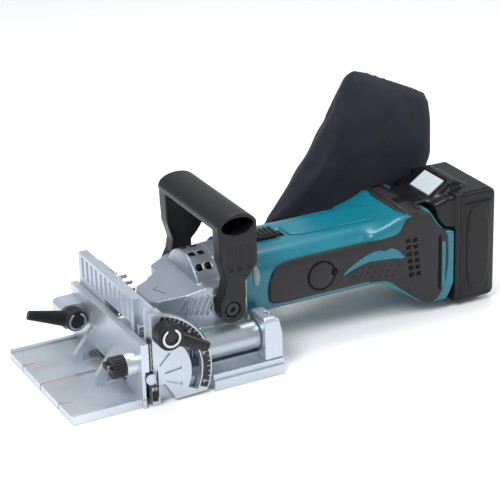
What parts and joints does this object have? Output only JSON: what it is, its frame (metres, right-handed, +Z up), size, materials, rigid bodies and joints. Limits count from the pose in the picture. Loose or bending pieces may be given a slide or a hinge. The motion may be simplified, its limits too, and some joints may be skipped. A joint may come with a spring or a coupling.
{
  "type": "biscuit joiner",
  "caption": "Cordless biscuit joiner with tilting guide, rising fence, sprung plunging motor body, D-handle, dust bag and slide-on battery.",
  "frame": {"origin": "on the sole plane, on the tool's mid-plane, 44 mm behind the nose face and 8 mm ahead of the blade's spindle", "axes": "+X back along the body to the battery, +Y to the tool's right (dust bag side), +Z up"},
  "size_m": [0.4081, 0.1694, 0.193],
  "materials": {
    "casting": "satin die casting",
    "cover_plate": "satin sheet",
    "steel": "ground steel",
    "spring_ring": "plated spring steel",
    "black_plastic": "moulded, fine texture",
    "scale_print": "printed scale strip",
    "housing_plastic": "moulded, satin",
    "grip_rubber": "soft overmould",
    "rubber": "matte",
    "bag_cloth": "woven cloth",
    "button_plastic": "moulded, glossy",
    "brush_carbon": "carbon",
    "cell_wrap": "wrapped cells"
  },
  "bodies": {
    "base": {"base_casting": "casting", "base_deck": "casting", "bottom_cover": "cover_plate", "bottom_cover_screws": "steel", "nose_plate": "casting", "nose_pads": "rubber", "rear_blocks": "casting", "slide_rods": "steel", "plunge_springs": "steel", "tilt_pins": "steel", "angle_pointer": "black_plastic", "tilt_bolt": "steel", "turret_bracket": "casting", "dust_nozzle": "black_plastic", "bag_collar": "black_plastic", "dust_bag": "bag_cloth"},
    "angle_guide": {"guide_plate": "casting", "quadrant_left": "casting", "quadrant_right": "casting", "angle_scale": "scale_print", "height_scale": "scale_print"},
    "rack": {"height_rack": "steel"},
    "fence": {"fence_plate": "casting", "fence_gib": "casting"},
    "fence_knob": {"fence_knob": "black_plastic", "pinion_shaft": "steel"},
    "fence_lever": {"fence_lever": "black_plastic", "fence_lever_bolt": "steel", "fence_lever_ring": "spring_ring"},
    "tilt_lever": {"tilt_lever": "black_plastic", "tilt_lever_ring": "spring_ring"},
    "depth_turret": {"depth_turret": "black_plastic"},
    "carriage": {"gear_housing": "casting", "bearing_seats": "casting", "ball_bearings": "steel", "slide_tubes": "casting", "stop_screw": "steel", "handle_loop": "black_plastic", "handle_bolts": "steel", "motor_housing_left": "housing_plastic", "motor_housing_right": "housing_plastic", "grip_left": "grip_rubber", "grip_right": "grip_rubber", "brush_covers": "black_plastic", "carbon_brushes": "brush_carbon", "stator": "steel", "switch_module": "black_plastic", "terminal_block": "black_plastic"},
    "armature": {"armature": "steel", "fan": "black_plastic"},
    "spindle": {"spindle": "steel", "bevel_gear": "steel", "blade": "steel", "blade_flanges": "steel"},
    "shaft_lock": {"shaft_lock": "steel"},
    "switch_slider": {"switch_slider": "black_plastic"},
    "battery": {"battery_case": "black_plastic", "battery_cover": "black_plastic", "battery_cells": "cell_wrap"},
    "battery_button": {"battery_button": "button_plastic"}
  },
  "joints": [
    {"name": "guide_tilt", "type": "hinge", "parent": "base", "child": "angle_guide", "pos_m": [-0.045, 0, 0.025], "axis": [0, -1, 0], "range_deg": [0, 90]},
    {"name": "rack_shift", "type": "slide", "parent": "angle_guide", "child": "rack", "axis": [0, 0, 1], "range_m": [0, 0.05351]},
    {"name": "fence_height", "type": "slide", "parent": "rack", "child": "fence", "axis": [0, 0, 1], "range_m": [0, 0.025]},
    {"name": "fence_knob_turn", "type": "hinge", "parent": "fence", "child": "fence_knob", "pos_m": [-0.066, -0.0578, 0.0355], "axis": [-1, 0, 0], "range_deg": [0, 358.2]},
    {"name": "fence_lever_turn", "type": "hinge", "parent": "fence", "child": "fence_lever", "pos_m": [-0.062, 0.04, 0.0355], "axis": [0, 1, 0], "range_deg": [0, 70]},
    {"name": "tilt_lever_turn", "type": "hinge", "parent": "base", "child": "tilt_lever", "pos_m": [-0.03185, -0.078, 0.06256], "axis": [0, -1, 0], "range_deg": [0, 70]},
    {"name": "turret_turn", "type": "hinge", "parent": "base", "child": "depth_turret", "pos_m": [-0.029, 0.029, 0.062], "axis": [1, 0, 0], "range_deg": [0, 360]},
    {"name": "plunge", "type": "slide", "parent": "base", "child": "carriage", "axis": [-1, 0, 0], "range_m": [0, 0.02], "stiffness_N_per_m": 900, "springref_m": -0.012, "deforming": ["plunge_springs"]},
    {"name": "spindle_spin", "type": "hinge", "parent": "carriage", "child": "spindle", "pos_m": [0.008, 0, 0.01], "axis": [0, 0, 1], "continuous": true},
    {"name": "armature_spin", "type": "hinge", "parent": "carriage", "child": "armature", "pos_m": [0.02, 0, 0.062], "axis": [1, 0, 0], "continuous": true},
    {"name": "shaft_lock_press", "type": "slide", "parent": "carriage", "child": "shaft_lock", "axis": [0, -1, 0], "range_m": [0, 0.003], "stiffness_N_per_m": 400, "springref_m": -0.002},
    {"name": "switch_slide", "type": "slide", "parent": "carriage", "child": "switch_slider", "axis": [-1, 0, 0], "range_m": [0, 0.005]},
    {"name": "battery_slide", "type": "slide", "parent": "carriage", "child": "battery", "axis": [0, 0, 1], "range_m": [0, 0.08]},
    {"name": "battery_button_press", "type": "slide", "parent": "battery", "child": "battery_button", "axis": [0.5496, 0, -0.8354], "range_m": [0, 0.0025], "stiffness_N_per_m": 500, "springref_m": -0.002}
  ],
  "couplings": [
    {"joint": "rack_shift", "follows": "guide_tilt", "m_per_rad": 0.034},
    {"joint": "fence_knob_turn", "follows": "fence_height", "rad_per_m": 250},
    {"joint": "armature_spin", "follows": "spindle_spin", "ratio": 3.1}
  ]
}
